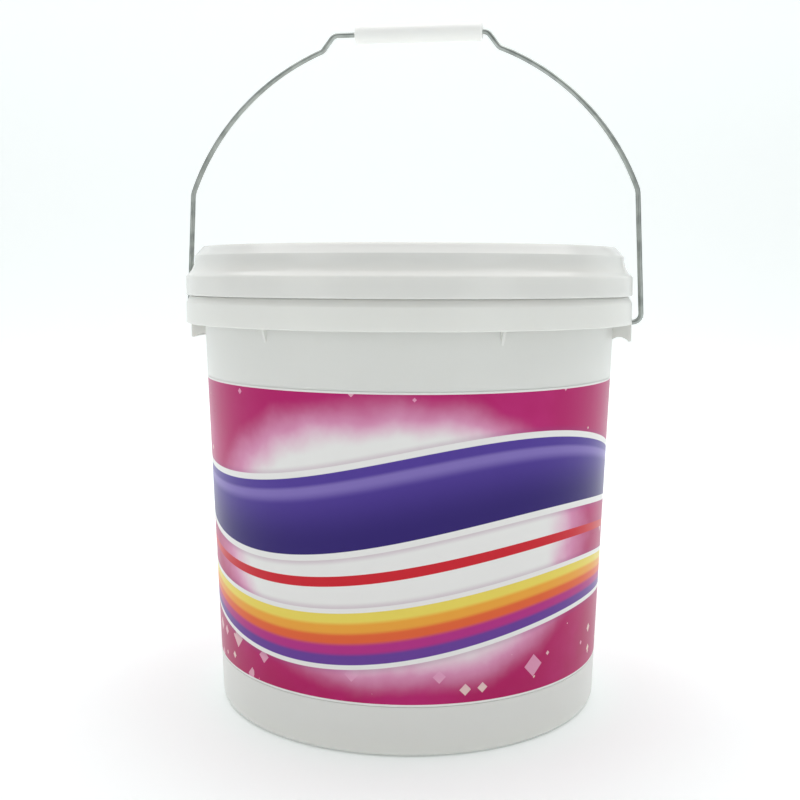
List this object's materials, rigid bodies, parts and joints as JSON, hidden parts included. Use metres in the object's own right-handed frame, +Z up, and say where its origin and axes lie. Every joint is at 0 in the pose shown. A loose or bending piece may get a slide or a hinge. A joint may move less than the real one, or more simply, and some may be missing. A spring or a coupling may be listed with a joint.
{
  "type": "laundry detergent pail",
  "caption": "White round plastic pail with a press-on lid, a swinging wire bail with a loose tube grip, and a printed film label moulded into its tapered wall.",
  "frame": {"origin": "centre of the foot ring, on the surface that the pail stands on", "axes": "+Z up along the pail's axis, X through the two bail ears, front of the pail towards -Y"},
  "size_m": [0.2842, 0.27, 0.4075],
  "materials": {
    "pail_plastic": "satin",
    "label_film": "gloss",
    "lid_plastic": "satin",
    "galvanised_wire": "galvanised",
    "grip_plastic": "satin"
  },
  "bodies": {
    "pail": {"pail_body": "pail_plastic", "label": "label_film"},
    "lid": {"lid": "lid_plastic"},
    "bail": {"bail_wire": "galvanised_wire"},
    "grip": {"grip": "grip_plastic"}
  },
  "joints": [
    {"name": "lid_lift", "type": "slide", "parent": "pail", "child": "lid", "axis": [0, 0, 1], "range_m": [0, 0.034]},
    {"name": "bail_swing", "type": "hinge", "parent": "pail", "child": "bail", "pos_m": [0, 0, 0.23], "axis": [1, 0, 0], "range_deg": [-132, 132]},
    {"name": "grip_spin", "type": "hinge", "parent": "bail", "child": "grip", "pos_m": [0, 0, 0.402], "axis": [1, 0, 0], "continuous": true}
  ]
}
